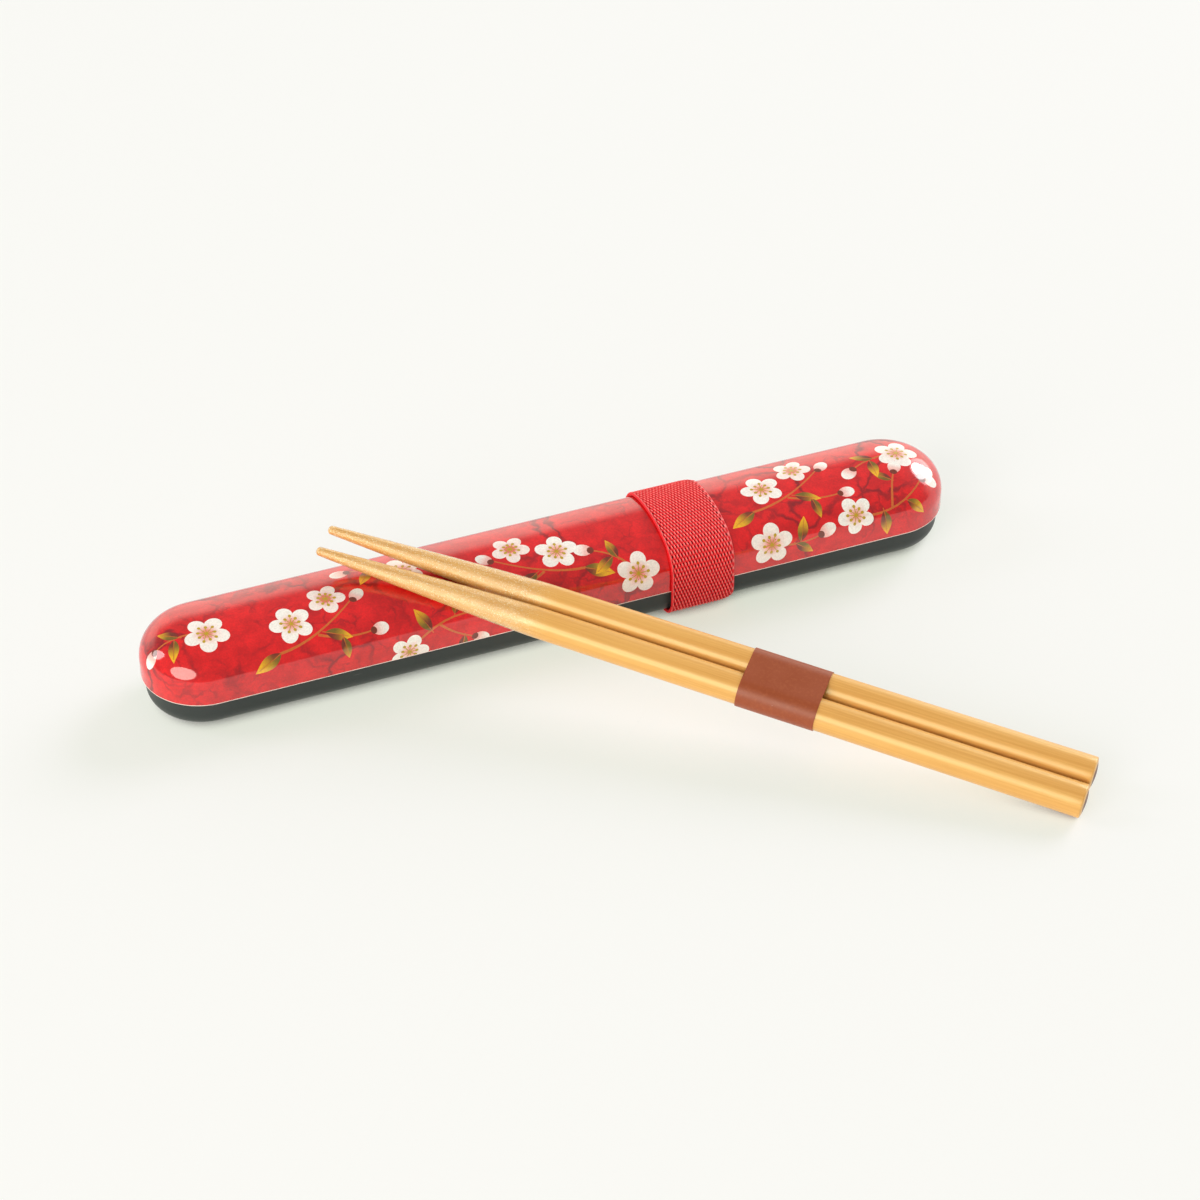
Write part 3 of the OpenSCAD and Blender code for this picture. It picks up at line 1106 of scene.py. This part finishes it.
def band_piece():
    """The wound strip with its lap, as one closed sheet of paper."""
    front_butt, front_way = stick_axis("chopstick_front")
    back_butt, back_way = stick_axis("chopstick_back")
    from_butt = stick_l - band_from_tip
    front = front_butt + front_way * from_butt
    back = back_butt + back_way * from_butt
    middle = (front + back) / 2
    way = (front_way + back_way).normalized()
    across = (back - front).normalized()
    up = way.cross(across)
    if up.z < 0:
        up = -up
    edge = band_from_tip + band_w / 2
    wide = (front_butt + front_way * (stick_l - edge) - back_butt - back_way * (stick_l - edge)).length
    line = band_line(wide, stick_r(edge) + band_gap)
    layers = [(point, 0.0) for point in line]
    layers += [(point, paper_t) for point in line[:flat_steps] if point[0] <= lap]
    points = []
    for (x, z, out), lift in layers:
        for k in range(band_rows + 1):
            t = (k / band_rows - 0.5) * band_w
            for height in (lift, lift + paper_t):
                points.append(middle + way * t + across * (x + out[0] * height) + up * (z + out[1] * height))
    piece = make_piece("band_wrap", points, sheet_faces(len(layers)))
    weld(piece)
    piece.data.set_sharp_from_angle(angle=sharp_turn)
    return piece


def band_paper():
    """Dyed kraft paper with a soft gloss, faint fibres and a few pale rubbed specks."""
    material, tree, surface, place = start_material("band_paper")
    fibres = patchy(tree, place, 1500.0, 4.0)
    cloud = patchy(tree, place, 220.0, 3.0)
    speck = grade(tree, patchy(tree, place, 800.0, 1.0), 0.80, 0.85)
    dyed = blend_colours(tree, cloud, colour(148, 68, 33), colour(158, 77, 41))
    fibrous = blend_colours(tree, grade(tree, fibres, 0.45, 0.75, 0.0, 0.5), dyed, colour(170, 90, 50))
    feed(tree, surface, {
        "Base Color": blend_colours(tree, speck, fibrous, colour(226, 190, 166)),
        "Roughness": grade(tree, cloud, 0.3, 0.7, 0.40, 0.46),
        "Normal": dents(tree, fibres, 0.15, 0.00005),
        "Specular IOR Level": 0.45})
    return material


band = band_piece()
band.data.materials.append(band_paper())
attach(band, "band")
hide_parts("paper_band")


# Table and light
# A plain white table, and a pale wall behind it with a bright window at either side and a wide curtain by
# the right one. The room on the camera's side is dim, with a warm lamp to the left. The gloss mirrors them.
table_half = 6000.0
table_z = -0.05
table_corners = [(x * table_half, y * table_half, table_z) for x, y in ((-1, -1), (1, -1), (1, 1), (-1, 1))]
table = make_piece("table", table_corners, [(0, 1, 2, 3)])


def table_white():
    """Smooth white laminate. To the eye and in mirrors it glows to white, so that its shadows stay light and
    warm; to all other light it is plain white. Its glow is dimmed where something lies close above it, a
    painted contact shadow."""
    material, tree, surface, place = start_material("table_white")
    cloud = patchy(tree, place, 3.0, 2.0)
    white = blend_colours(tree, cloud, (0.93, 0.93, 0.92, 1.0), (0.95, 0.95, 0.94, 1.0))
    rays = add_node(tree, "ShaderNodeLightPath").outputs
    mirrored = combine(tree, "MAXIMUM", rays["Is Glossy Ray"], rays["Is Transmission Ray"])
    seen = combine(tree, "MAXIMUM", rays["Is Camera Ray"], mirrored)
    nearby = add_node(tree, "ShaderNodeAmbientOcclusion", {"Distance": 0.005}, samples=8)
    # Painted contact shadow: the glow fades where ambient occlusion finds something within 5 mm.
    painted_contact_shade = grade(tree, nearby.outputs["AO"], 0.0, 0.45, 0.1, 1.0)
    feed(tree, surface, {
        "Base Color": blend_colours(tree, seen, white, (0.33, 0.285, 0.37, 1.0)),
        "Emission Color": (0.588, 0.638, 0.518, 1.0),
        "Emission Strength": combine(tree, "MULTIPLY", seen, painted_contact_shade),
        "Roughness": 1.0,
        "Specular IOR Level": 0.0})
    return material


table.data.materials.append(table_white())

dim_room = (0.28, 0.285, 0.29, 1.0)
pale_wall = (1.5, 1.46, 1.3, 1.0)
towards_wall = (0.5, 0.866, 0.0)
wall_side = (0.05, 0.55)
wall_top = (0.34, 0.56)
world = bpy.data.worlds.new("room")
bpy.context.scene.world = world
world.use_nodes = True
room = world.node_tree
sight = add_node(room, "ShaderNodeTexCoord").outputs["Generated"]
facing = add_node(room, "ShaderNodeVectorMath", {0: sight, 1: towards_wall}, operation="DOT_PRODUCT")
behind = grade(room, facing.outputs["Value"], *wall_side)
height = add_node(room, "ShaderNodeSeparateXYZ", {0: sight}).outputs["Z"]
low = grade(room, height, *wall_top, 1.0, 0.0)
room_light = blend_colours(room, combine(room, "MULTIPLY", behind, low), dim_room, pale_wall)
feed(room, room.nodes["Background"], {"Color": room_light})


def soft_light(name, towards, distance, wide, high, power, tint=(1.0, 1.0, 1.0)):
    """A soft oval light, set at a distance in a direction from the case and facing it."""
    lamp = bpy.data.lights.new(name, "AREA")
    lamp.shape = "ELLIPSE"
    lamp.size = wide
    lamp.size_y = high
    lamp.energy = power
    lamp.color = tint
    light = bpy.data.objects.new(name, lamp)
    light.location = Vector(towards).normalized() * distance
    light.rotation_mode = "QUATERNION"
    light.rotation_quaternion = Vector(towards).to_track_quat("Z", "Y")
    bpy.context.scene.collection.objects.link(light)


soft_light("right_window", (0.760, 0.354, 0.545), 2.6, 1.2, 1.1, 24)
soft_light("right_curtain", (0.840, 0.310, 0.440), 2.6, 2.1, 1.6, 28)
soft_light("left_window", (-0.780, 0.414, 0.469), 2.6, 0.8, 1.3, 14)
soft_light("left_lamp", (-0.733, -0.533, 0.42), 2.2, 1.75, 1.55, 39, tint=(1.0, 0.95, 0.84))


# Camera
# It looks at the set from the front left, a little over a third of the way up, through a long lens.
eye = Vector((-0.21162, -0.52111, 0.49382))
azimuth = math.radians(-21.438)
elevation = math.radians(38.988)
back = Vector((math.sin(azimuth) * math.cos(elevation), -math.cos(azimuth) * math.cos(elevation),
               math.sin(elevation)))
right = Vector((math.cos(azimuth), math.sin(azimuth), 0.0))
turned = Matrix((right, back.cross(right), back)).transposed()
lens = bpy.data.cameras.new("camera")
lens.sensor_width = 36.0
lens.lens = 101.15
lens.clip_start = 0.01
camera = bpy.data.objects.new("camera", lens)
camera.matrix_world = Matrix.Translation(eye) @ turned.to_4x4()
bpy.context.scene.collection.objects.link(camera)
bpy.context.scene.camera = camera
bpy.context.scene.view_settings.view_transform = "Standard"
